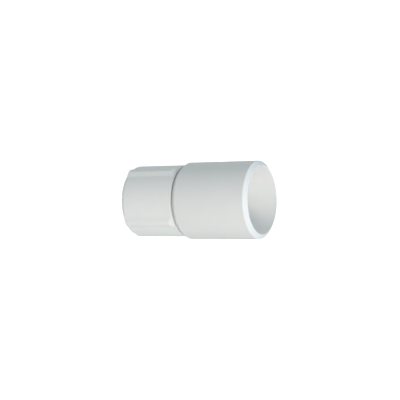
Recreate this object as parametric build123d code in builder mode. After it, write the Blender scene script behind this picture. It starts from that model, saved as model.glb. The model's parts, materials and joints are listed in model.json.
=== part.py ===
from build123d import *
import math
import os

# A reducing pipe coupling. It stands on the end of its ribbed hand nut, with the mouth for the
# larger pipe upwards. The origin is on the axis, in the plane of the nut's outer end, and +Z runs
# along the axis towards the large mouth. All sizes are in millimetres.

os.makedirs("parts", exist_ok=True)

# ---------------------------------------------------------------- driving dimensions
# the two pipes that the coupling joins, by outside diameter
large_pipe_diameter = 50.0
small_pipe_diameter = 40.0
pipe_clearance = 0.15

# socket body: a sleeve for the larger pipe, closed by a web that carries the threaded spigot
sleeve_length = 61.0
sleeve_wall = 3.7
bevel_length = 2.8
bevel_depth = 2.25
mouth_bevel_length = 2.35
mouth_bevel_depth = 3.2
mouth_edge = 0.1
web_thickness = 4.0
neck_step = 1.8
neck_length = 3.0
spigot_wall = 2.2
spigot_mouth_depth = 1.4
spigot_mouth_length = 2.0
socket_depth = 36.0
socket_step = 0.5
stop_count = 4
stop_width = 3.0
stop_height = 1.6

# the gap left between nut and sleeve, and how far the nut can still be tightened
joint_gap = 1.4
tightening_travel = 0.9

# thread between spigot and nut: trapezoidal, right-handed, single start
thread_pitch = 3.0
thread_depth = 1.1
thread_root_width = 1.7
thread_crest_width = 0.8
thread_clearance = 0.25
thread_lead = 1.6
thread_root_overlap = 0.2

# ribbed nut
nut_length = 42.6
nut_wall = 3.25
nut_floor = 3.0
nut_opening_clearance = 0.45
nut_end_bevel_length = 2.6
nut_end_bevel_depth = 1.35
nut_mouth_bevel_length = 0.3
nut_mouth_bevel_depth = 0.3
nut_mouth_edge = 0.8
cone_depth = 1.3
rib_count = 4
rib_angle = 35.7
rib_height = 1.6
rib_crest_width = 2.25
rib_base_width = 10.1
rib_start = 1.1
rib_start_ramp = 0.6
rib_end_margin = 0.5
rib_end_ramp = 2.9

# rings inside the nut
ring_clearance = 0.3
ring_bore_clearance = 0.1
grip_ring_length = 7.0
grip_tooth_count = 5
grip_tooth_depth = 0.45
grip_slit_width = 2.5
washer_thickness = 1.5
washer_edge = 0.3
seal_height = 5.5
seal_nose_height = 1.0
seal_groove_depth = 0.3
seal_lip_height = 1.0
seal_end_clearance = 0.1

# ---------------------------------------------------------------- derived radii
socket_radius = large_pipe_diameter / 2 + pipe_clearance
sleeve_radius = socket_radius + sleeve_wall
passage_radius = small_pipe_diameter / 2 + pipe_clearance
neck_radius = passage_radius - neck_step
spigot_radius = passage_radius + spigot_wall
spigot_mouth_radius = passage_radius + spigot_mouth_depth
nut_bore_radius = spigot_radius + thread_depth + thread_clearance
nut_radius = nut_bore_radius + nut_wall
nut_opening_radius = passage_radius + nut_opening_clearance
cone_radius = nut_bore_radius - cone_depth
rib_radius = nut_radius + rib_height
ring_radius = nut_bore_radius - ring_clearance
ring_bore_radius = passage_radius + ring_bore_clearance

# ---------------------------------------------------------------- derived heights along the axis
grip_ring_base = nut_floor + ring_clearance
grip_ring_top = grip_ring_base + grip_ring_length
cone_top = grip_ring_top
washer_top = grip_ring_top + washer_thickness
seal_top = washer_top + seal_height
spigot_end = seal_top + tightening_travel + seal_end_clearance
sleeve_base = nut_length + joint_gap
web_top = sleeve_base + web_thickness
neck_base = web_top - neck_length
mouth_top = sleeve_base + sleeve_length
socket_floor = mouth_top - socket_depth
rib_end = nut_length - rib_end_margin


def thread_ridge(root_radius, crest_radius, base_height, top_height):
    """One helical ridge whose foot is sunk a little into the wall that carries it."""
    inward = 1 if crest_radius > root_radius else -1
    foot_radius = root_radius - inward * thread_root_overlap
    ridge_path = Helix(
        pitch=thread_pitch,
        height=top_height - base_height,
        radius=root_radius,
        center=(0, 0, base_height),
        mode=Mode.PRIVATE,
    )
    flank = (thread_root_width - thread_crest_width) / 2 / thread_depth
    foot_half = thread_root_width / 2 + flank * thread_root_overlap
    crest_half = thread_crest_width / 2
    with BuildSketch(Plane.XZ) as ridge_section:
        with BuildLine():
            Polyline(
                (foot_radius, base_height - foot_half),
                (crest_radius, base_height - crest_half),
                (crest_radius, base_height + crest_half),
                (foot_radius, base_height + foot_half),
                close=True,
            )
        make_face()
    return sweep(ridge_section.sketch, path=ridge_path, is_frenet=True, mode=Mode.PRIVATE)


# ---------------------------------------------------------------- threads
half_ridge = thread_root_width / 2
spigot_thread_base = spigot_end + thread_lead
spigot_thread_top = sleeve_base - joint_gap - half_ridge
nut_thread_base = spigot_thread_base + thread_pitch / 2
nut_thread_top = nut_length - nut_mouth_edge - half_ridge
spigot_thread = thread_ridge(
    spigot_radius, spigot_radius + thread_depth, spigot_thread_base, spigot_thread_top
)
nut_thread = thread_ridge(
    nut_bore_radius, nut_bore_radius - thread_depth, nut_thread_base, nut_thread_top
)

# ---------------------------------------------------------------- socket body
with BuildPart() as socket_body:
    with BuildSketch(Plane.XZ):
        with BuildLine():
            Polyline(
                (spigot_mouth_radius, spigot_end),
                (spigot_radius, spigot_end),
                (spigot_radius, sleeve_base),
                (sleeve_radius - bevel_depth, sleeve_base),
                (sleeve_radius, sleeve_base + bevel_length),
                (sleeve_radius, mouth_top - mouth_bevel_length),
                (sleeve_radius - mouth_bevel_depth, mouth_top),
                (socket_radius + mouth_edge, mouth_top),
                (socket_radius, mouth_top - mouth_edge),
                (socket_radius, socket_floor),
                (socket_radius - socket_step, socket_floor),
                (socket_radius - socket_step, web_top),
                (neck_radius, web_top),
                (neck_radius, neck_base),
                (passage_radius, neck_base),
                (passage_radius, spigot_end + spigot_mouth_length),
                close=True,
            )
        make_face()
    revolve(axis=Axis.Z)
    # below the socket the bore steps in, and upright ribs stop the larger pipe there
    with BuildSketch(Plane.XY.offset(web_top)):
        stop_inner_radius = socket_radius - stop_height
        stop_outer_radius = socket_radius + sleeve_wall / 3
        with PolarLocations((stop_inner_radius + stop_outer_radius) / 2, stop_count):
            Rectangle(stop_outer_radius - stop_inner_radius, stop_width)
    extrude(amount=socket_floor - web_top)
    add(spigot_thread)
socket_body.part.label = "socket_body"

# ---------------------------------------------------------------- ribbed nut
with BuildPart() as ribbed_nut:
    # finger ribs, each with a flat crest and sloping sides that run out on the round wall
    rib_base_half = rib_base_width / 2
    rib_crest_half = rib_crest_width / 2
    rib_foot_radius = math.sqrt(nut_radius**2 - rib_base_half**2)
    rib_side_slope = (rib_base_half - rib_crest_half) / (rib_radius - rib_foot_radius)
    rib_sink = nut_wall / 4
    rib_sunk_half = rib_base_half + rib_sink * rib_side_slope
    with BuildSketch(Plane.XY.offset(rib_start)):
        with PolarLocations(0, rib_count, start_angle=rib_angle):
            Polygon(
                (rib_foot_radius - rib_sink, -rib_sunk_half),
                (rib_radius, -rib_crest_half),
                (rib_radius, rib_crest_half),
                (rib_foot_radius - rib_sink, rib_sunk_half),
                align=None,
            )
    extrude(amount=rib_end - rib_start)
    # both ends of the ribs ramp down to the round wall
    rib_corner_radius = math.hypot(rib_radius, rib_crest_half)
    for tip_height, ramp_height in (
        (rib_start, rib_start + rib_start_ramp),
        (rib_end, rib_end - rib_end_ramp),
    ):
        with BuildSketch(Plane.XZ):
            with BuildLine():
                Polyline(
                    (nut_radius, tip_height),
                    (rib_corner_radius, ramp_height),
                    (rib_corner_radius + rib_height, ramp_height),
                    (rib_corner_radius + rib_height, tip_height),
                    close=True,
                )
            make_face()
        revolve(axis=Axis.Z, mode=Mode.SUBTRACT)
    with BuildSketch(Plane.XZ):
        with BuildLine():
            Polyline(
                (nut_opening_radius, 0),
                (nut_radius - nut_end_bevel_depth, 0),
                (nut_radius, nut_end_bevel_length),
                (nut_radius, nut_length - nut_mouth_bevel_length),
                (nut_radius - nut_mouth_bevel_depth, nut_length),
                (nut_bore_radius + nut_mouth_edge, nut_length),
                (nut_bore_radius, nut_length - nut_mouth_edge),
                (nut_bore_radius, cone_top),
                (cone_radius, nut_floor),
                (nut_opening_radius, nut_floor),
                close=True,
            )
        make_face()
    revolve(axis=Axis.Z)
    add(nut_thread)
ribbed_nut.part.label = "ribbed_nut"

# ---------------------------------------------------------------- grip ring
with BuildPart() as grip_ring:
    # saw teeth on the bore lean against a pipe that is pulled out through the nut
    tooth_pitch = grip_ring_length / grip_tooth_count
    tooth_root_radius = ring_bore_radius + grip_tooth_depth
    bore_points = []
    for tooth in range(grip_tooth_count):
        tooth_base = grip_ring_base + tooth * tooth_pitch
        bore_points.append((tooth_root_radius, tooth_base))
        bore_points.append((ring_bore_radius, tooth_base + tooth_pitch))
    with BuildSketch(Plane.XZ):
        with BuildLine():
            Polyline(
                *bore_points,
                (ring_radius, grip_ring_top),
                (cone_radius - ring_clearance, grip_ring_base),
                close=True,
            )
        make_face()
    revolve(axis=Axis.Z)
    # the slit lets the ring close on the pipe as the cone presses it
    with BuildSketch(Plane.XY.offset(grip_ring_base)):
        with Locations((ring_radius, 0)):
            Rectangle(2 * (ring_radius - passage_radius), grip_slit_width)
    extrude(amount=grip_ring_length, mode=Mode.SUBTRACT)
grip_ring.part.label = "grip_ring"

# ---------------------------------------------------------------- slip washer
with BuildPart() as slip_washer:
    with BuildSketch(Plane.XY.offset(grip_ring_top)):
        Circle(ring_radius)
        Circle(ring_bore_radius, mode=Mode.SUBTRACT)
    extrude(amount=washer_thickness)
    rims = slip_washer.edges().filter_by(GeomType.CIRCLE).group_by(SortBy.RADIUS)[-1]
    chamfer(rims, length=washer_edge)
slip_washer.part.label = "slip_washer"

# ---------------------------------------------------------------- seal ring
with BuildPart() as seal_ring:
    # two lips on the bore with a groove between them, and a tapered nose for the spigot's mouth
    groove_radius = ring_bore_radius + seal_groove_depth
    nose_radius = spigot_mouth_radius - ring_clearance
    nose_taper = seal_nose_height * spigot_mouth_depth / spigot_mouth_length
    with BuildSketch(Plane.XZ):
        with BuildLine():
            Polyline(
                (ring_bore_radius, washer_top),
                (ring_radius, washer_top),
                (ring_radius, seal_top),
                (nose_radius, seal_top),
                (nose_radius - nose_taper, seal_top + seal_nose_height),
                (ring_bore_radius, seal_top + seal_nose_height),
                (ring_bore_radius, seal_top),
                (groove_radius, seal_top - seal_groove_depth),
                (groove_radius, washer_top + seal_lip_height + seal_groove_depth),
                (ring_bore_radius, washer_top + seal_lip_height),
                close=True,
            )
        make_face()
    revolve(axis=Axis.Z)
seal_ring.part.label = "seal_ring"

# ---------------------------------------------------------------- export
for piece in (socket_body, ribbed_nut, grip_ring, slip_washer, seal_ring):
    export_step(piece.part, f"parts/{piece.part.label}.step")
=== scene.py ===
import json
import math

import bpy
from mathutils import Matrix, Vector


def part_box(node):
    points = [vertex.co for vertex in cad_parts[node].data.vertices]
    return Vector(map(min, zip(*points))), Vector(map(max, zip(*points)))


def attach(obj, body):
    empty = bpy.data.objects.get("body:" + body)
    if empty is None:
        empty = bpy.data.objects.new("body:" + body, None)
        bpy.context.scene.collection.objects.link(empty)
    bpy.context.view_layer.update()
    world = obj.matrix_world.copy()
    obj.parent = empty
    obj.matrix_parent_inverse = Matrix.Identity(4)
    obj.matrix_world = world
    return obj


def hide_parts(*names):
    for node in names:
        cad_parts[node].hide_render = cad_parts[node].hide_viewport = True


# The looks of a reducing pipe coupling: a bevelled socket sleeve with a threaded spigot, a hand nut
# with finger ribs, and the rings inside the nut. Sizes are in metres, in the frame of the CAD model:
# +Z runs along the axis from the nut's end to the large mouth.

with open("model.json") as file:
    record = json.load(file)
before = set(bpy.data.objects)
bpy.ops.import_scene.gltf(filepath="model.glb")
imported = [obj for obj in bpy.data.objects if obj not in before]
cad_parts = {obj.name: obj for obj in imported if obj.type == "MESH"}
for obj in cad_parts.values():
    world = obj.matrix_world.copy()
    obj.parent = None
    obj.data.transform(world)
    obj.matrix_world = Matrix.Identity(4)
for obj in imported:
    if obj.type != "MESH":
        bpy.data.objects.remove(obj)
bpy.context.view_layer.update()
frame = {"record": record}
MM = 0.001

# ---------------------------------------------------------------- sizes read from the frame
mounts = {mount["name"]: mount for mount in frame["record"]["mounts"]}
body_low, body_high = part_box("socket_body")
nut_low, nut_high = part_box("ribbed_nut")
grip_low, grip_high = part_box("grip_ring")
washer_low, washer_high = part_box("slip_washer")
seal_low, seal_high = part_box("seal_ring")

sleeve_radius = min(body_high[0], body_high[1], -body_low[0], -body_low[1])
mouth_top = body_high[2]
spigot_end = body_low[2]
socket_radius = mounts["large_pipe_socket"]["dims"]["r_mm"] * MM
socket_length = mounts["large_pipe_socket"]["dims"]["length_mm"] * MM
passage_radius = mounts["small_pipe_socket"]["dims"]["r_mm"] * MM
passage_length = mounts["small_pipe_socket"]["dims"]["length_mm"] * MM
passage_middle = mounts["small_pipe_socket"]["pos_m"][2]
nut_radius = min(nut_high[0], nut_high[1], -nut_low[0], -nut_low[1])
nut_length = nut_high[2]
ring_radius = washer_high[0]

# ---------------------------------------------------------------- sizes of the visible shapes
JOINT_GAP = 1.4 * MM
BEVEL_LENGTH = 2.8 * MM
BEVEL_DEPTH = 2.25 * MM
MOUTH_BEVEL_LENGTH = 2.35 * MM
MOUTH_BEVEL_DEPTH = 3.2 * MM
MOUTH_EDGE = 0.1 * MM
SOCKET_STEP = 0.5 * MM
WEB_THICKNESS = 4.0 * MM
NECK_STEP = 1.8 * MM
NECK_LENGTH = 3.0 * MM
SPIGOT_WALL = 2.2 * MM
SPIGOT_MOUTH_DEPTH = 1.4 * MM
STOP_COUNT = 4
STOP_WIDTH = 3.0 * MM
STOP_HEIGHT = 1.6 * MM

THREAD_PITCH = 3.0 * MM
THREAD_DEPTH = 1.1 * MM
THREAD_ROOT_WIDTH = 1.7 * MM
THREAD_CREST_WIDTH = 0.8 * MM
THREAD_CLEARANCE = 0.25 * MM
THREAD_LEAD = 1.6 * MM
THREAD_SINK = 0.2 * MM

NUT_FLOOR = 3.0 * MM
NUT_OPENING_CLEARANCE = 0.45 * MM
NUT_END_BEVEL_LENGTH = 2.6 * MM
NUT_END_BEVEL_DEPTH = 1.35 * MM
NUT_MOUTH_BEVEL_LENGTH = 0.3 * MM
NUT_MOUTH_BEVEL_DEPTH = 0.3 * MM
NUT_MOUTH_EDGE = 0.8 * MM
CONE_DEPTH = 1.3 * MM
RIB_COUNT = 4
RIB_ANGLE = math.radians(35.7)
RIB_HEIGHT = 1.6 * MM
RIB_CREST_WIDTH = 2.25 * MM
RIB_BASE_WIDTH = 10.1 * MM
RIB_START = 1.1 * MM
RIB_START_RAMP = 0.6 * MM
RIB_END_MARGIN = 0.5 * MM
RIB_END_RAMP = 2.9 * MM

RING_CLEARANCE = 0.3 * MM
RING_BORE_CLEARANCE = 0.1 * MM
GRIP_TOOTH_COUNT = 5
GRIP_TOOTH_DEPTH = 0.45 * MM
GRIP_SLIT_WIDTH = 2.5 * MM
WASHER_EDGE = 0.3 * MM
SEAL_NOSE_HEIGHT = 1.0 * MM
SEAL_NOSE_TAPER = 0.7 * MM
SEAL_GROOVE_DEPTH = 0.3 * MM
SEAL_LIP_HEIGHT = 1.0 * MM

sleeve_base = nut_length + JOINT_GAP
web_top = sleeve_base + WEB_THICKNESS
socket_floor = mouth_top - MOUTH_EDGE - socket_length
passage_base = passage_middle - passage_length / 2
neck_radius = passage_radius - NECK_STEP
spigot_radius = passage_radius + SPIGOT_WALL
spigot_mouth_radius = passage_radius + SPIGOT_MOUTH_DEPTH
nut_bore_radius = spigot_radius + THREAD_DEPTH + THREAD_CLEARANCE
cone_radius = nut_bore_radius - CONE_DEPTH
ring_bore_radius = passage_radius + RING_BORE_CLEARANCE

# ---------------------------------------------------------------- small tools for meshes
FULL_TURN = 2 * math.pi
EDGE_MARK = "edge_mark"
ARC_STEPS = 5
EDGE_GUARD = 0.12 * MM


def rounded_outline(corners):
    """Closed outline of (radius, height) points. Each corner is (radius, height, rounding); a rounded
    corner becomes an arc, with one guard point on each side that keeps the flats flat in shading."""
    points = []
    count = len(corners)
    for index, (radius, height, rounding) in enumerate(corners):
        here = Vector((radius, height))
        before = Vector(corners[index - 1][:2])
        after = Vector(corners[(index + 1) % count][:2])
        into = (here - before).normalized()
        out = (after - here).normalized()
        turn = math.atan2(into.cross(out), into.dot(out))
        if rounding <= 0 or abs(turn) < 0.02:
            points.append(here)
            continue
        half_tangent = math.tan(abs(turn) / 2)
        room = min((here - before).length, (after - here).length)
        trim = min(rounding * half_tangent, 0.45 * room)
        start = here - into * trim
        inward = Vector((-into.y, into.x)) * math.copysign(trim / half_tangent, turn)
        centre = start + inward
        if (here - before).length - 2 * trim > 3 * EDGE_GUARD:
            points.append(start - into * EDGE_GUARD)
        for step in range(ARC_STEPS + 1):
            swing = turn * step / ARC_STEPS
            arm = -inward
            crosswise = Vector((-arm.y, arm.x))
            points.append(centre + arm * math.cos(swing) + crosswise * math.sin(swing))
        if (after - here).length - 2 * trim > 3 * EDGE_GUARD:
            points.append(here + out * (trim + EDGE_GUARD))
    return points


def with_rows(points, inner_limit, heights):
    """The outline with extra points at these heights, wherever it lies further out than the limit."""
    result = []
    for index, here in enumerate(points):
        after = points[(index + 1) % len(points)]
        result.append(here)
        if min(here.x, after.x) < inner_limit or abs(after.y - here.y) < EDGE_GUARD:
            continue
        low, high = sorted((here.y, after.y))
        between = [h for h in heights if low + 0.05 * MM < h < high - 0.05 * MM]
        for height in sorted(between, reverse=after.y < here.y):
            share = (height - here.y) / (after.y - here.y)
            result.append(here.lerp(after, share))
    return result


def outline_object(name, points, path_radius):
    """The outline as a closed loop of edges, laid out for a sweep round the axis: x is the distance
    outwards from the path, y runs down the axis, and the loop runs counter-clockwise."""
    places = [(point.x - path_radius, -point.y, 0) for point in points]
    area = sum(
        places[index - 1][0] * place[1] - place[0] * places[index - 1][1]
        for index, place in enumerate(places)
    )
    if area < 0:
        places.reverse()
    mesh = bpy.data.meshes.new(name)
    edges = [(index, (index + 1) % len(places)) for index in range(len(places))]
    mesh.from_pydata(places, edges, [])
    outline = bpy.data.objects.new(name, mesh)
    bpy.context.collection.objects.link(outline)
    return outline


def set_inputs(modifier, values):
    """Sets a Geometry Nodes modifier's inputs by the names of its sockets."""
    for socket in modifier.node_group.interface.items_tree:
        if socket.item_type == "SOCKET" and socket.in_out == "INPUT" and socket.name in values:
            modifier[socket.identifier] = values[socket.name]


def grown(source, steps):
    """Runs the trees in steps, (tree, inputs), on the source object and returns the plain mesh."""
    for tree, values in steps:
        modifier = source.modifiers.new(tree.name, "NODES")
        modifier.node_group = tree
        set_inputs(modifier, values)
    depsgraph = bpy.context.evaluated_depsgraph_get()
    result = source.evaluated_get(depsgraph)
    mesh = bpy.data.meshes.new_from_object(
        result, preserve_all_data_layers=True, depsgraph=depsgraph
    )
    source.modifiers.clear()
    bpy.data.objects.remove(source)
    return mesh


def joined(name, meshes):
    """One object at the origin from several meshes."""
    parts = []
    for mesh in meshes:
        part = bpy.data.objects.new(name, mesh)
        bpy.context.collection.objects.link(part)
        parts.append(part)
    if len(parts) > 1:
        with bpy.context.temp_override(
            active_object=parts[0], selected_editable_objects=parts, selected_objects=parts
        ):
            bpy.ops.object.join()
    parts[0].name = name
    parts[0].data.name = name
    return parts[0]


# ---------------------------------------------------------------- Geometry Nodes trees
class NodeMaker:
    """A node tree under construction, with short calls for adding nodes and feeding sockets."""

    def __init__(self, tree):
        self.tree = tree

    def socket(self, direction, label, kind, value=None):
        face = self.tree.interface
        socket = face.new_socket(label, in_out=direction, socket_type="NodeSocket" + kind)
        if value is not None:
            socket.default_value = value

    def add(self, kind, settings=None, **inputs):
        node = self.tree.nodes.new(kind)
        for label, value in (settings or {}).items():
            setattr(node, label, value)
        for label, value in inputs.items():
            self.feed(node.inputs[label.replace("_", " ")], value)
        return node

    def feed(self, socket, value):
        if isinstance(value, bpy.types.NodeSocket):
            self.tree.links.new(value, socket)
        else:
            socket.default_value = value

    def math(self, operation, *values):
        node = self.add("ShaderNodeMath", {"operation": operation})
        for place, value in enumerate(values):
            self.feed(node.inputs[place], value)
        return node.outputs[0]


class ShapeMaker(NodeMaker):
    """A Geometry Nodes tree with named inputs, one geometry in and one out."""

    def __init__(self, name, inputs):
        super().__init__(bpy.data.node_groups.new(name, "GeometryNodeTree"))
        self.socket("INPUT", "Geometry", "Geometry")
        for label, kind, value in inputs:
            self.socket("INPUT", label, kind, value)
        self.socket("INPUT", "Material", "Material")
        self.socket("OUTPUT", "Geometry", "Geometry")
        self.entry = self.add("NodeGroupInput")
        self.exit = self.add("NodeGroupOutput")

    def given(self, label):
        return self.entry.outputs[label]

    def finish(self, geometry):
        """Marks the outward edges, for wear, and ends in Realize Instances and Set Material."""
        real = self.add("GeometryNodeRealizeInstances", Geometry=geometry)
        bend = self.add("GeometryNodeInputMeshEdgeAngle").outputs["Signed Angle"]
        edge = self.add("GeometryNodeFieldOnDomain", {"domain": "EDGE"})
        self.feed(edge.inputs[0], bend)
        softened = self.add("GeometryNodeBlurAttribute", Iterations=2)
        self.feed(softened.inputs[0], edge.outputs[0])
        marked = self.add("GeometryNodeStoreNamedAttribute", Geometry=real.outputs[0])
        marked.domain = "POINT"
        self.feed(marked.inputs["Name"], EDGE_MARK)
        self.feed(marked.inputs["Value"], softened.outputs[0])
        dressed = self.add("GeometryNodeSetMaterial", Geometry=marked.outputs[0])
        self.feed(dressed.inputs["Material"], self.given("Material"))
        self.feed(self.exit.inputs[0], dressed.outputs[0])
        return self.tree


def make_turning_tree():
    """Turns the outline that comes in about the axis, through the sweep angle, as a lathe would."""
    maker = ShapeMaker(
        "turned_ring",
        [
            ("Path Radius", "Float", 20 * MM),
            ("Segments", "Int", 256),
        ],
    )
    outline = maker.add("GeometryNodeMeshToCurve", Mesh=maker.given("Geometry"))
    path = maker.add("GeometryNodeCurvePrimitiveCircle", Resolution=maker.given("Segments"))
    maker.feed(path.inputs["Radius"], maker.given("Path Radius"))
    turned = maker.add("GeometryNodeCurveToMesh", Curve=path.outputs[0])
    maker.feed(turned.inputs["Profile Curve"], outline.outputs[0])
    smooth = maker.add("GeometryNodeSetShadeSmooth", Geometry=turned.outputs[0])
    return maker.finish(smooth.outputs[0])


def make_split_ring_tree():
    """Turns the outline about the axis but leaves a slit, with both ends of the ring closed."""
    maker = ShapeMaker(
        "split_ring",
        [
            ("Path Radius", "Float", 20 * MM),
            ("Segments", "Int", 256),
            ("Slit Angle", "Float", 0.1),
        ],
    )
    outline = maker.add("GeometryNodeMeshToCurve", Mesh=maker.given("Geometry"))
    path = maker.add("GeometryNodeCurveArc", Resolution=maker.given("Segments"))
    maker.feed(path.inputs["Radius"], maker.given("Path Radius"))
    maker.feed(path.inputs["Start Angle"], maker.math("MULTIPLY", maker.given("Slit Angle"), 0.5))
    sweep = maker.math("SUBTRACT", FULL_TURN, maker.given("Slit Angle"))
    maker.feed(path.inputs["Sweep Angle"], sweep)
    turned = maker.add("GeometryNodeCurveToMesh", Curve=path.outputs[0], Fill_Caps=True)
    maker.feed(turned.inputs["Profile Curve"], outline.outputs[0])
    smooth = maker.add("GeometryNodeSetShadeSmooth", Geometry=turned.outputs[0])
    return maker.finish(smooth.outputs[0])


def make_finger_rib_tree():
    """Raises straight ribs out of the round wall of a turned nut. Each rib has a flat crest and
    sloping sides, ramps down at both ends, and flows into the wall with a small fillet."""
    maker = ShapeMaker(
        "finger_ribs",
        [
            ("Wall Radius", "Float", 24 * MM),
            ("Rib Height", "Float", 1.5 * MM),
            ("Crest Width", "Float", 4 * MM),
            ("Base Width", "Float", 10 * MM),
            ("First Angle", "Float", 0.0),
            ("Rib Count", "Int", 4),
            ("Start", "Float", 1 * MM),
            ("Start Ramp", "Float", 1 * MM),
            ("End", "Float", 37 * MM),
            ("End Ramp", "Float", 3 * MM),
            ("Edge Rounding", "Float", 0.3 * MM),
            ("Root Fillet", "Float", 0.3 * MM),
            ("Gathering", "Float", 0.5),
        ],
    )
    given = maker.given
    calc = maker.math
    place = maker.add("GeometryNodeInputPosition")
    apart = maker.add("ShaderNodeSeparateXYZ", Vector=place.outputs[0])
    x, y, z = apart.outputs
    radius = calc("SQRT", calc("ADD", calc("MULTIPLY", x, x), calc("MULTIPLY", y, y)))
    angle = calc("ARCTAN2", y, x)
    # the columns of the mesh are gathered round the ribs, where the surface bends most
    spacing = calc("DIVIDE", FULL_TURN, given("Rib Count"))
    lead = calc("SUBTRACT", angle, given("First Angle"))
    wave = calc("SINE", calc("MULTIPLY", lead, given("Rib Count")))
    shift = calc("DIVIDE", calc("MULTIPLY", wave, given("Gathering")), given("Rib Count"))
    moved_lead = calc("SUBTRACT", lead, shift)
    from_rib = calc("WRAP", moved_lead, calc("MULTIPLY", spacing, 0.5), calc("MULTIPLY", spacing, -0.5))
    # section across a rib, as the distance from the axis in each direction
    crest_half = calc("MULTIPLY", given("Crest Width"), 0.5)
    base_half = calc("MULTIPLY", given("Base Width"), 0.5)
    crest_radius = calc("ADD", given("Wall Radius"), given("Rib Height"))
    wall_squared = calc("POWER", given("Wall Radius"), 2.0)
    foot_radius = calc("SQRT", calc("SUBTRACT", wall_squared, calc("POWER", base_half, 2.0)))
    rise = calc("SUBTRACT", crest_radius, foot_radius)
    slope = calc("DIVIDE", calc("SUBTRACT", base_half, crest_half), rise)
    crest = calc("DIVIDE", crest_radius, calc("COSINE", from_rib))
    reach = calc("ADD", crest_half, calc("MULTIPLY", slope, crest_radius))
    sideways = calc("ABSOLUTE", calc("SINE", from_rib))
    lean = calc("ADD", sideways, calc("MULTIPLY", slope, calc("COSINE", from_rib)))
    side = calc("DIVIDE", reach, lean)
    # ramps at both ends
    start_rise = calc("DIVIDE", given("Rib Height"), given("Start Ramp"))
    past_start = calc("SUBTRACT", z, given("Start"))
    start_line = calc("MULTIPLY", past_start, start_rise)
    start_drop = calc("MULTIPLY", past_start, 4.0)
    end_rise = calc("DIVIDE", given("Rib Height"), given("End Ramp"))
    before_end = calc("SUBTRACT", given("End"), z)
    end_line = calc("MULTIPLY", before_end, end_rise)
    end_drop = calc("MULTIPLY", before_end, 2.5)
    start_ramp = calc("MINIMUM", start_line, start_drop)
    ramp = calc("MINIMUM", calc("MINIMUM", end_line, end_drop), start_ramp)
    ramp_radius = calc("ADD", given("Wall Radius"), ramp)
    section = calc("SMOOTH_MIN", crest, side, given("Edge Rounding"))
    rib = calc("SMOOTH_MIN", section, ramp_radius, given("Edge Rounding"))
    raised = calc("SMOOTH_MAX", radius, rib, given("Root Fillet"))
    # only the outer wall rises; the bore, the floor and the end faces stay turned
    outer = calc("GREATER_THAN", radius, calc("SUBTRACT", given("Wall Radius"), 1.3 * MM))
    inside = calc("MULTIPLY", outer, calc("GREATER_THAN", z, 0.02 * MM))
    new_radius = calc("ADD", radius, calc("MULTIPLY", inside, calc("SUBTRACT", raised, radius)))
    new_angle = calc("ADD", given("First Angle"), moved_lead)
    new_place = maker.add("ShaderNodeCombineXYZ", Z=z)
    maker.feed(new_place.inputs["X"], calc("MULTIPLY", new_radius, calc("COSINE", new_angle)))
    maker.feed(new_place.inputs["Y"], calc("MULTIPLY", new_radius, calc("SINE", new_angle)))
    moved = maker.add("GeometryNodeSetPosition", Geometry=given("Geometry"))
    maker.feed(moved.inputs["Position"], new_place.outputs[0])
    return maker.finish(moved.outputs[0])


def make_thread_tree():
    """Winds a ridge along a right-handed helix. The ridge fades into the wall at both ends."""
    maker = ShapeMaker(
        "thread_ridge",
        [
            ("Path Radius", "Float", 20 * MM),
            ("Base", "Float", 0.0),
            ("Pitch", "Float", 3 * MM),
            ("Turns", "Float", 5.0),
            ("Steps Per Turn", "Int", 120),
            ("Fade", "Float", 0.06),
        ],
    )
    given = maker.given
    calc = maker.math
    section = maker.add("GeometryNodeMeshToCurve", Mesh=given("Geometry"))
    helix = maker.add("GeometryNodeCurveSpiral", Resolution=given("Steps Per Turn"))
    maker.feed(helix.inputs["Rotations"], given("Turns"))
    maker.feed(helix.inputs["Start Radius"], given("Path Radius"))
    maker.feed(helix.inputs["End Radius"], given("Path Radius"))
    maker.feed(helix.inputs["Height"], calc("MULTIPLY", given("Turns"), given("Pitch")))
    lift = maker.add("ShaderNodeCombineXYZ", Z=given("Base"))
    lifted = maker.add("GeometryNodeSetPosition", Geometry=helix.outputs[0])
    maker.feed(lifted.inputs["Offset"], lift.outputs[0])
    upright = maker.add("GeometryNodeSetCurveNormal", Curve=lifted.outputs[0])
    upright.mode = "Z_UP"
    along = maker.add("GeometryNodeSplineParameter").outputs["Factor"]
    from_end = calc("MINIMUM", along, calc("SUBTRACT", 1.0, along))
    share = calc("MINIMUM", calc("DIVIDE", from_end, given("Fade")), 1.0)
    size = calc("MAXIMUM", calc("POWER", share, 0.6), 0.05)
    ridge = maker.add("GeometryNodeCurveToMesh", Curve=upright.outputs[0], Fill_Caps=True)
    maker.feed(ridge.inputs["Profile Curve"], section.outputs[0])
    maker.feed(ridge.inputs["Scale"], size)
    smooth = maker.add("GeometryNodeSetShadeSmooth", Geometry=ridge.outputs[0])
    return maker.finish(smooth.outputs[0])


def make_stop_tree():
    """Stands copies of one stop round the axis, evenly spaced. The first one keeps its place."""
    maker = ShapeMaker("upright_stops", [("Count", "Int", 4)])
    given = maker.given
    points = maker.add("GeometryNodePoints", Count=given("Count"))
    number = maker.add("GeometryNodeInputIndex").outputs[0]
    step = maker.math("DIVIDE", FULL_TURN, given("Count"))
    spin = maker.add("ShaderNodeCombineXYZ", Z=maker.math("MULTIPLY", number, step))
    turn = maker.add("FunctionNodeEulerToRotation", Euler=spin.outputs[0])
    copies = maker.add("GeometryNodeInstanceOnPoints", Points=points.outputs[0])
    maker.feed(copies.inputs["Instance"], given("Geometry"))
    maker.feed(copies.inputs["Rotation"], turn.outputs[0])
    return maker.finish(copies.outputs[0])


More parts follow.
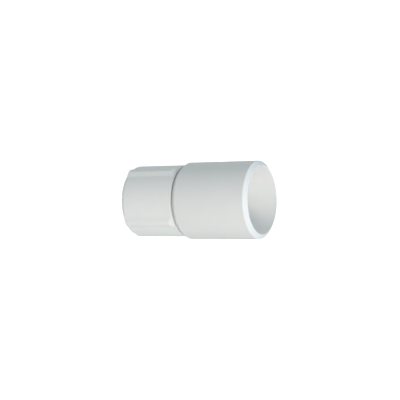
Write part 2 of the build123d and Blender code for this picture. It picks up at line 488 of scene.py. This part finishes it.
# ---------------------------------------------------------------- materials
def make_surface_group():
    """Masks for a moulded surface, read from the object's own coordinates: slow drifts of tone,
    patches of polish, fine grain, hairline scuffs and worn edges."""
    maker = NodeMaker(bpy.data.node_groups.new("moulded_surface", "ShaderNodeTree"))
    maker.socket("INPUT", "Patch Size", "Float", 14 * MM)
    maker.socket("INPUT", "Grain Size", "Float", 0.5 * MM)
    maker.socket("OUTPUT", "Tone", "Float")
    maker.socket("OUTPUT", "Polish", "Float")
    maker.socket("OUTPUT", "Grain", "Float")
    maker.socket("OUTPUT", "Scuffs", "Float")
    maker.socket("OUTPUT", "Worn Edge", "Float")
    entry = maker.add("NodeGroupInput")
    leave = maker.add("NodeGroupOutput")
    patch_scale = maker.math("DIVIDE", 1.0, entry.outputs["Patch Size"])
    grain_scale = maker.math("DIVIDE", 1.0, entry.outputs["Grain Size"])
    place = maker.add("ShaderNodeTexCoord").outputs["Object"]

    tone = maker.add("ShaderNodeTexNoise", Vector=place, Scale=patch_scale, Detail=3.0)
    maker.feed(leave.inputs["Tone"], tone.outputs[0])

    polish_scale = maker.math("MULTIPLY", patch_scale, 2.7)
    polish = maker.add("ShaderNodeTexNoise", Vector=place, Scale=polish_scale, Detail=5.0)
    maker.feed(leave.inputs["Polish"], polish.outputs[0])

    fine = maker.add("ShaderNodeTexNoise", Vector=place, Scale=grain_scale, Detail=2.0)
    flow_place = maker.add("ShaderNodeMapping", Vector=place, Scale=(1.0, 1.0, 0.06))
    flow_scale = maker.math("MULTIPLY", grain_scale, 0.5)
    flow = maker.add(
        "ShaderNodeTexNoise", Vector=flow_place.outputs[0], Scale=flow_scale, Detail=2.0
    )
    flow_part = maker.math("MULTIPLY", flow.outputs[0], 0.5)
    maker.feed(leave.inputs["Grain"], maker.math("ADD", fine.outputs[0], flow_part))

    cell_scale = maker.math("MULTIPLY", patch_scale, 1.6)
    scuff_lines = maker.add(
        "ShaderNodeTexVoronoi", {"feature": "DISTANCE_TO_EDGE"}, Vector=place, Scale=cell_scale
    )
    near_line = maker.math("LESS_THAN", scuff_lines.outputs[0], 0.006)
    broken = maker.math("GREATER_THAN", polish.outputs[0], 0.55)
    maker.feed(leave.inputs["Scuffs"], maker.math("MULTIPLY", near_line, broken))

    mark = maker.add("ShaderNodeAttribute", {"attribute_name": EDGE_MARK})
    ragged = maker.math("ADD", maker.math("MULTIPLY", polish.outputs[0], 1.2), 0.4)
    worn = maker.math("MULTIPLY", maker.math("MULTIPLY", mark.outputs["Fac"], 8.0), ragged)
    held = maker.math("MINIMUM", maker.math("MAXIMUM", worn, 0.0), 1.0)
    maker.feed(leave.inputs["Worn Edge"], held)
    return maker.tree


def painted_light_bore_mixed(maker, outside, look):
    """Mixes in a lighter colour inside the look's bore radius: painted light that makes the bore's
    walls brighter than the outside.
    """
    place = maker.add("ShaderNodeTexCoord").outputs["Object"]
    apart = maker.add("ShaderNodeSeparateXYZ", Vector=place)
    across = maker.math("MULTIPLY", apart.outputs[0], apart.outputs[0])
    deep = maker.math("MULTIPLY", apart.outputs[1], apart.outputs[1])
    radius = maker.math("SQRT", maker.math("ADD", across, deep))
    mixed = maker.add("ShaderNodeMix", {"data_type": "RGBA"})
    maker.feed(mixed.inputs["Factor"], maker.math("LESS_THAN", radius, look["bore_radius"]))
    maker.feed(mixed.inputs["A"], outside.outputs["Result"])
    maker.feed(mixed.inputs["B"], (*look["bore"], 1.0))
    return mixed


def moulded_material(name, surface, look):
    """A moulded plastic or rubber. The look gives its colours, roughness and size of detail."""
    material = bpy.data.materials.new(name)
    material.use_nodes = True
    material.node_tree.nodes.clear()
    maker = NodeMaker(material.node_tree)
    masks = maker.add("ShaderNodeGroup", {"node_tree": surface})
    maker.feed(masks.inputs["Patch Size"], look["patch"])
    maker.feed(masks.inputs["Grain Size"], look["grain"])
    drift = maker.add("ShaderNodeMix", {"data_type": "RGBA"})
    maker.feed(drift.inputs["Factor"], masks.outputs["Tone"])
    maker.feed(drift.inputs["A"], (*look["dark"], 1.0))
    maker.feed(drift.inputs["B"], (*look["light"], 1.0))
    if "bore_radius" in look:
        # painted light: the bore's walls get a lighter colour than the outer wall, to brighten the
        # inside of the socket
        drift = painted_light_bore_mixed(maker, drift, look)
    worn = maker.add("ShaderNodeMix", {"data_type": "RGBA"})
    worn_share = maker.math("MULTIPLY", masks.outputs["Worn Edge"], look["wear"])
    maker.feed(worn.inputs["Factor"], worn_share)
    maker.feed(worn.inputs["A"], drift.outputs["Result"])
    maker.feed(worn.inputs["B"], (*look["worn"], 1.0))
    spread = maker.math("SUBTRACT", masks.outputs["Polish"], 0.5)
    roughness = maker.math("ADD", maker.math("MULTIPLY", spread, look["spread"]), look["rough"])
    scuffed = maker.math("ADD", roughness, maker.math("MULTIPLY", masks.outputs["Scuffs"], 0.12))
    relief = maker.math("SUBTRACT", masks.outputs["Grain"], masks.outputs["Scuffs"])
    bump = maker.add("ShaderNodeBump", Height=relief, Strength=look["bump"], Distance=look["relief"])
    shader = maker.add("ShaderNodeBsdfPrincipled", Normal=bump.outputs[0])
    maker.feed(shader.inputs["Base Color"], worn.outputs["Result"])
    maker.feed(shader.inputs["Roughness"], scuffed)
    shader.inputs["IOR"].default_value = look["ior"]
    shader.inputs["Subsurface Weight"].default_value = look["glow"]
    shader.inputs["Subsurface Scale"].default_value = 1.2 * MM
    output = maker.add("ShaderNodeOutputMaterial")
    maker.feed(output.inputs["Surface"], shader.outputs[0])
    return material


surface_masks = make_surface_group()
body_white = moulded_material(
    "white_pvc_sleeve",
    surface_masks,
    {
        "dark": (0.795, 0.81, 0.805),
        "light": (0.82, 0.835, 0.83),
        "worn": (0.90, 0.91, 0.90),
        "wear": 0.5,
        "patch": 14 * MM,
        "grain": 0.5 * MM,
        "rough": 0.36,
        "spread": 0.16,
        "bump": 0.25,
        "relief": 0.02 * MM,
        "ior": 1.53,
        "glow": 0.08,
        # painted light: the bore's colour is lighter than the outer wall's, to brighten the inside of
        # the socket
        "bore_radius": socket_radius + 0.2 * MM,
        "bore": (0.94, 0.945, 0.935),
    },
)
nut_white = moulded_material(
    "white_pvc_nut",
    surface_masks,
    {
        "dark": (0.86, 0.87, 0.865),
        "light": (0.885, 0.895, 0.89),
        "worn": (0.93, 0.94, 0.93),
        "wear": 0.6,
        "patch": 11 * MM,
        "grain": 0.5 * MM,
        "rough": 0.38,
        "spread": 0.18,
        "bump": 0.3,
        "relief": 0.02 * MM,
        "ior": 1.53,
        "glow": 0.08,
    },
)
grip_cream = moulded_material(
    "natural_acetal_grip",
    surface_masks,
    {
        "dark": (0.62, 0.58, 0.47),
        "light": (0.69, 0.65, 0.54),
        "worn": (0.78, 0.75, 0.67),
        "wear": 0.5,
        "patch": 6 * MM,
        "grain": 0.35 * MM,
        "rough": 0.42,
        "spread": 0.2,
        "bump": 0.3,
        "relief": 0.02 * MM,
        "ior": 1.48,
        "glow": 0.15,
    },
)
washer_pale = moulded_material(
    "pale_polypropylene_washer",
    surface_masks,
    {
        "dark": (0.56, 0.60, 0.61),
        "light": (0.64, 0.67, 0.68),
        "worn": (0.74, 0.76, 0.76),
        "wear": 0.5,
        "patch": 5 * MM,
        "grain": 0.3 * MM,
        "rough": 0.5,
        "spread": 0.2,
        "bump": 0.3,
        "relief": 0.02 * MM,
        "ior": 1.49,
        "glow": 0.15,
    },
)
seal_black = moulded_material(
    "black_rubber_seal",
    surface_masks,
    {
        "dark": (0.013, 0.013, 0.014),
        "light": (0.028, 0.028, 0.029),
        "worn": (0.06, 0.06, 0.06),
        "wear": 0.6,
        "patch": 4 * MM,
        "grain": 0.18 * MM,
        "rough": 0.62,
        "spread": 0.25,
        "bump": 0.5,
        "relief": 0.03 * MM,
        "ior": 1.52,
        "glow": 0.0,
    },
)

turning_tree = make_turning_tree()
split_ring_tree = make_split_ring_tree()
finger_rib_tree = make_finger_rib_tree()
thread_tree = make_thread_tree()
stop_tree = make_stop_tree()


# ---------------------------------------------------------------- pieces
def turned(name, corners, segments, material, rows=None):
    """A ring turned from its corners."""
    points = rounded_outline(corners)
    if rows:
        points = with_rows(points, *rows)
    path_radius = min(point.x for point in points)
    values = {"Path Radius": path_radius, "Segments": segments, "Material": material}
    return outline_object(name, points, path_radius), [(turning_tree, values)]


def thread_mesh(name, wall_radius, depth, base, top, material):
    """A thread's ridge along a round wall from base to top. A negative depth is for an inside thread.
    Known fault: the ridge comes out on the wrong side of its path, so it lies hidden in the wall."""
    flank = (THREAD_ROOT_WIDTH - THREAD_CREST_WIDTH) / 2 / abs(depth)
    foot_half = THREAD_ROOT_WIDTH / 2 + flank * THREAD_SINK
    foot = wall_radius - math.copysign(THREAD_SINK, depth)
    crest = wall_radius + depth
    crest_half = THREAD_CREST_WIDTH / 2
    points = rounded_outline(
        [
            (foot, -foot_half, 0),
            (crest, -crest_half, 0.18 * MM),
            (crest, crest_half, 0.18 * MM),
            (foot, foot_half, 0),
        ]
    )
    values = {
        "Path Radius": foot,
        "Base": base,
        "Pitch": THREAD_PITCH,
        "Turns": (top - base) / THREAD_PITCH,
        "Material": material,
    }
    return grown(outline_object(name, points, foot), [(thread_tree, values)])


def stop_meshes(name, material):
    """Four upright stops on the socket's wall, each with rounded edges and a rounded top."""
    inner = socket_radius - STOP_HEIGHT
    outer = socket_radius - SOCKET_STEP + 0.4 * MM
    half_width = STOP_WIDTH / 2
    section = rounded_outline(
        [
            (inner, -half_width, 0.3 * MM),
            (outer, -half_width, 0),
            (outer, half_width, 0),
            (inner, half_width, 0.3 * MM),
        ]
    )
    middle = Vector(((inner + outer) / 2, 0))
    base = web_top - 0.2 * MM
    levels = [(base, 1.0), (socket_floor - 0.35 * MM, 1.0)]
    for share in (0.4, 0.75, 1.0):
        drop = 0.35 * MM * (1 - math.sin(share * math.pi / 2))
        levels.append((socket_floor - drop, 1 - 0.16 * (1 - math.cos(share * math.pi / 2))))
    places = []
    for height, size in levels:
        for point in section:
            spot = middle + (point - middle) * size
            places.append((spot.x, spot.y, height))
    count = len(section)
    faces = [tuple(reversed(range(count)))]
    for level in range(len(levels) - 1):
        for index in range(count):
            after = (index + 1) % count
            low = level * count
            faces.append((low + index, low + after, low + count + after, low + count + index))
    top = (len(levels) - 1) * count
    faces.append(tuple(top + index for index in range(count)))
    mesh = bpy.data.meshes.new(name)
    mesh.from_pydata(places, [], faces)
    mesh.materials.append(material)
    stop = bpy.data.objects.new(name, mesh)
    bpy.context.collection.objects.link(stop)
    return grown(stop, [(stop_tree, {"Count": STOP_COUNT, "Material": material})])


def make_body():
    inner_wall = socket_radius - SOCKET_STEP
    neck_base = web_top - NECK_LENGTH
    shell, steps = turned(
        "body_shell",
        [
            (spigot_mouth_radius, spigot_end, 0.15 * MM),
            (spigot_radius, spigot_end, 0.25 * MM),
            (spigot_radius, sleeve_base, 0.4 * MM),
            (sleeve_radius - BEVEL_DEPTH, sleeve_base, 0.25 * MM),
            (sleeve_radius, sleeve_base + BEVEL_LENGTH, 0.6 * MM),
            (sleeve_radius, mouth_top - MOUTH_BEVEL_LENGTH, 0.6 * MM),
            (sleeve_radius - MOUTH_BEVEL_DEPTH, mouth_top, 0.2 * MM),
            (socket_radius + MOUTH_EDGE, mouth_top, 0),
            (socket_radius, mouth_top - MOUTH_EDGE, 0.15 * MM),
            (socket_radius, socket_floor, 0.1 * MM),
            (inner_wall, socket_floor, 0.1 * MM),
            (inner_wall, web_top, 0.4 * MM),
            (neck_radius, web_top, 0.3 * MM),
            (neck_radius, neck_base, 0.2 * MM),
            (passage_radius, neck_base, 0.3 * MM),
            (passage_radius, passage_base, 0.3 * MM),
        ],
        320,
        body_white,
    )
    thread = thread_mesh(
        "spigot_thread",
        spigot_radius,
        THREAD_DEPTH,
        spigot_end + THREAD_LEAD,
        nut_length - THREAD_ROOT_WIDTH / 2,
        body_white,
    )
    stops = stop_meshes("socket_stops", body_white)
    return joined("sleeve_moulding", [grown(shell, steps), thread, stops])


def make_nut():
    opening = passage_radius + NUT_OPENING_CLEARANCE
    cone_top = grip_high[2]
    rib_end = nut_length - RIB_END_MARGIN
    fine = 0.3 * MM
    start_rows = [RIB_START - fine + fine / 3 * row for row in range(14)]
    end_rows = [rib_end - RIB_END_RAMP - 3 * fine + fine * row for row in range(16)]
    middle_rows = [4.0 * MM + 3.8 * MM * row for row in range(9)]
    shell, steps = turned(
        "nut_shell",
        [
            (opening, 0, 0.2 * MM),
            (nut_radius - NUT_END_BEVEL_DEPTH, 0, 0.25 * MM),
            (nut_radius, NUT_END_BEVEL_LENGTH, 0.5 * MM),
            (nut_radius, nut_length - NUT_MOUTH_BEVEL_LENGTH, 0.25 * MM),
            (nut_radius - NUT_MOUTH_BEVEL_DEPTH, nut_length, 0.2 * MM),
            (nut_bore_radius + NUT_MOUTH_EDGE, nut_length, 0.2 * MM),
            (nut_bore_radius, nut_length - NUT_MOUTH_EDGE, 0.2 * MM),
            (nut_bore_radius, cone_top, 0.3 * MM),
            (cone_radius, NUT_FLOOR, 0.3 * MM),
            (opening, NUT_FLOOR, 0.2 * MM),
        ],
        480,
        nut_white,
        (nut_radius - 1.25 * MM, sorted(start_rows + middle_rows + end_rows)),
    )
    ribs = {
        "Wall Radius": nut_radius,
        "Rib Height": RIB_HEIGHT,
        "Crest Width": RIB_CREST_WIDTH,
        "Base Width": RIB_BASE_WIDTH,
        "First Angle": RIB_ANGLE,
        "Rib Count": RIB_COUNT,
        "Start": RIB_START,
        "Start Ramp": RIB_START_RAMP,
        "End": rib_end,
        "End Ramp": RIB_END_RAMP,
        "Edge Rounding": 0.4 * MM,
        "Root Fillet": 0.35 * MM,
        "Gathering": 0.5,
        "Material": nut_white,
    }
    thread = thread_mesh(
        "nut_thread",
        nut_bore_radius,
        -THREAD_DEPTH,
        spigot_end + THREAD_LEAD + THREAD_PITCH / 2,
        nut_length - NUT_MOUTH_EDGE - THREAD_ROOT_WIDTH / 2,
        nut_white,
    )
    return joined("nut_moulding", [grown(shell, [*steps, (finger_rib_tree, ribs)]), thread])


def make_grip_ring():
    base, top = grip_low[2], grip_high[2]
    pitch = (top - base) / GRIP_TOOTH_COUNT
    corners = []
    for tooth in range(GRIP_TOOTH_COUNT):
        foot = base + tooth * pitch
        corners.append((ring_bore_radius + GRIP_TOOTH_DEPTH, foot, 0.08 * MM))
        corners.append((ring_bore_radius, foot + pitch, 0.04 * MM))
    corners.append((ring_radius, top, 0.2 * MM))
    corners.append((cone_radius - RING_CLEARANCE, base, 0.2 * MM))
    points = rounded_outline(corners)
    values = {
        "Path Radius": ring_radius,
        "Segments": 240,
        "Slit Angle": GRIP_SLIT_WIDTH / ring_radius,
        "Material": grip_cream,
    }
    outline = outline_object("grip_outline", points, ring_radius)
    return joined("grip_ring_moulding", [grown(outline, [(split_ring_tree, values)])])


def make_washer():
    base, top = washer_low[2], washer_high[2]
    shell, steps = turned(
        "washer_outline",
        [
            (ring_bore_radius, base, 0.15 * MM),
            (ring_radius - WASHER_EDGE, base, 0.1 * MM),
            (ring_radius, base + WASHER_EDGE, 0.1 * MM),
            (ring_radius, top - WASHER_EDGE, 0.1 * MM),
            (ring_radius - WASHER_EDGE, top, 0.1 * MM),
            (ring_bore_radius, top, 0.15 * MM),
        ],
        256,
        washer_pale,
    )
    return joined("slip_washer_moulding", [grown(shell, steps)])


def make_seal():
    base, nose_top = seal_low[2], seal_high[2]
    shoulder = nose_top - SEAL_NOSE_HEIGHT
    groove = ring_bore_radius + SEAL_GROOVE_DEPTH
    nose = spigot_mouth_radius - RING_CLEARANCE
    shell, steps = turned(
        "seal_outline",
        [
            (ring_bore_radius, base, 0.25 * MM),
            (ring_radius, base, 0.35 * MM),
            (ring_radius, shoulder, 0.35 * MM),
            (nose, shoulder, 0.2 * MM),
            (nose - SEAL_NOSE_TAPER, nose_top, 0.15 * MM),
            (ring_bore_radius, nose_top, 0.1 * MM),
            (ring_bore_radius, shoulder, 0.15 * MM),
            (groove, shoulder - SEAL_GROOVE_DEPTH, 0.15 * MM),
            (groove, base + SEAL_LIP_HEIGHT + SEAL_GROOVE_DEPTH, 0.15 * MM),
            (ring_bore_radius, base + SEAL_LIP_HEIGHT, 0.15 * MM),
        ],
        256,
        seal_black,
    )
    return joined("seal_ring_moulding", [grown(shell, steps)])


for piece, node, body_name, slot_name in (
    (make_body(), "socket_body", "body", "body_plastic"),
    (make_nut(), "ribbed_nut", "nut", "nut_plastic"),
    (make_grip_ring(), "grip_ring", "ring_stack", "grip_plastic"),
    (make_washer(), "slip_washer", "ring_stack", "washer_plastic"),
    (make_seal(), "seal_ring", "ring_stack", "seal_rubber"),
):
    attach(piece, body_name)
    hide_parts(node)


# ---------------------------------------------------------------- floor, light and camera
TABLE_HALF_WIDTH = 6.0
TABLE_LEVEL = -0.02 * MM
TABLE_GLOW = 0.55
FLOOR_LIGHT = (0.60, 0.62, 0.62)
ROOM_LIGHT = (0.385, 0.435, 0.445)
OVERHEAD_LIFT = 1.25
OVERHEAD_SIZE = 1.5
OVERHEAD_WATTS = 7.4
OVERHEAD_COLOUR = (0.76, 0.86, 1.0)
KEY_ROUND = math.radians(33)
KEY_LIFT = math.radians(38)
KEY_DISTANCE = 1.2
KEY_SIZE = 0.36
KEY_WATTS = 6.9
KEY_COLOUR = (1.0, 0.91, 0.85)


def make_floor():
    """A plain pale table that glows a little, as a light table does."""
    material = bpy.data.materials.new("pale_table")
    material.use_nodes = True
    material.node_tree.nodes.clear()
    maker = NodeMaker(material.node_tree)
    place = maker.add("ShaderNodeTexCoord").outputs["Object"]
    cloud = maker.add("ShaderNodeTexNoise", Vector=place, Scale=6.0, Detail=4.0)
    paint = maker.add("ShaderNodeMix", {"data_type": "RGBA"})
    maker.feed(paint.inputs["Factor"], cloud.outputs[0])
    maker.feed(paint.inputs["A"], (0.93, 0.93, 0.93, 1.0))
    maker.feed(paint.inputs["B"], (0.96, 0.96, 0.96, 1.0))
    shader = maker.add("ShaderNodeBsdfPrincipled", Roughness=0.9)
    maker.feed(shader.inputs["Base Color"], paint.outputs["Result"])
    shader.inputs["Emission Color"].default_value = (1.0, 1.0, 1.0, 1.0)
    shader.inputs["Emission Strength"].default_value = TABLE_GLOW
    output = maker.add("ShaderNodeOutputMaterial")
    maker.feed(output.inputs["Surface"], shader.outputs[0])
    half = TABLE_HALF_WIDTH
    mesh = bpy.data.meshes.new("pale_table")
    corners = [(-half, -half), (half, -half), (half, half), (-half, half)]
    mesh.from_pydata([(x, y, TABLE_LEVEL) for x, y in corners], [], [(0, 1, 2, 3)])
    mesh.materials.append(material)
    table = bpy.data.objects.new("pale_table", mesh)
    bpy.context.collection.objects.link(table)
    # the table's own glow is for the picture only and doesn't light the coupling from below
    table.visible_diffuse = False
    table.visible_glossy = False
    return table


def softbox(name, place, aim, size, watts, colour):
    """A large square light that faces its aim."""
    light = bpy.data.lights.new(name, "AREA")
    light.shape = "SQUARE"
    light.size = size
    light.energy = watts
    light.color = colour
    holder = bpy.data.objects.new(name, light)
    holder.location = place
    holder.rotation_euler = (Vector(aim) - Vector(place)).to_track_quat("-Z", "Y").to_euler()
    bpy.context.collection.objects.link(holder)


def make_room():
    """Soft light from all round: cool from the walls and ceiling, brighter from the pale floor."""
    room = bpy.data.worlds.new("soft_room")
    room.use_nodes = True
    room.node_tree.nodes.clear()
    maker = NodeMaker(room.node_tree)
    way = maker.add("ShaderNodeTexCoord").outputs["Generated"]
    apart = maker.add("ShaderNodeSeparateXYZ", Vector=way)
    lift = maker.add("ShaderNodeMapRange", Value=apart.outputs[2], From_Min=-0.3, From_Max=0.1)
    blend = maker.add("ShaderNodeMix", {"data_type": "RGBA"})
    maker.feed(blend.inputs["Factor"], lift.outputs[0])
    maker.feed(blend.inputs["A"], (*FLOOR_LIGHT, 1.0))
    maker.feed(blend.inputs["B"], (*ROOM_LIGHT, 1.0))
    shine = maker.add("ShaderNodeBackground", Strength=1.0)
    maker.feed(shine.inputs["Color"], blend.outputs["Result"])
    output = maker.add("ShaderNodeOutputWorld")
    maker.feed(output.inputs["Surface"], shine.outputs[0])
    return room


make_floor()
centre = Vector((0.0, 0.0, mouth_top / 2))
overhead_place = centre + Vector((0.0, 0.0, OVERHEAD_LIFT))
key_level = math.cos(KEY_LIFT)
key_way = Vector(
    (math.sin(KEY_ROUND) * key_level, -math.cos(KEY_ROUND) * key_level, math.sin(KEY_LIFT))
)
key_place = centre + key_way * KEY_DISTANCE
softbox("overhead_box", overhead_place, centre, OVERHEAD_SIZE, OVERHEAD_WATTS, OVERHEAD_COLOUR)
softbox("warm_key", key_place, centre, KEY_SIZE, KEY_WATTS, KEY_COLOUR)
bpy.context.scene.world = make_room()
bpy.context.scene.view_settings.view_transform = "Standard"

CAMERA_HEIGHT = math.radians(28.09)
CAMERA_ROLL = math.radians(-0.75)
CAMERA_DISTANCE = 0.870
CAMERA_LENS = 104.2
CAMERA_AIM_ALONG = 2.19 * MM
CAMERA_AIM_ACROSS = 0.55 * MM
AIM_HEIGHT = 50.75 * MM

# the camera lies on its side, so that the coupling's axis runs across the picture
back = Vector((0.0, -math.cos(CAMERA_HEIGHT), math.sin(CAMERA_HEIGHT)))
level = Vector((1.0, 0.0, 0.0))
rise = back.cross(level)
right = rise * math.cos(CAMERA_ROLL) - level * math.sin(CAMERA_ROLL)
up = back.cross(right)
aim = Vector((0.0, 0.0, AIM_HEIGHT)) + right * CAMERA_AIM_ALONG + up * CAMERA_AIM_ACROSS
camera_data = bpy.data.cameras.new("camera")
camera_data.lens = CAMERA_LENS
camera_data.sensor_width = 36.0
camera = bpy.data.objects.new("camera", camera_data)
turn = Matrix((right, up, back)).transposed().to_4x4()
camera.matrix_world = Matrix.Translation(aim + back * CAMERA_DISTANCE) @ turn
bpy.context.collection.objects.link(camera)
bpy.context.scene.camera = camera

bpy.context.view_layer.update()
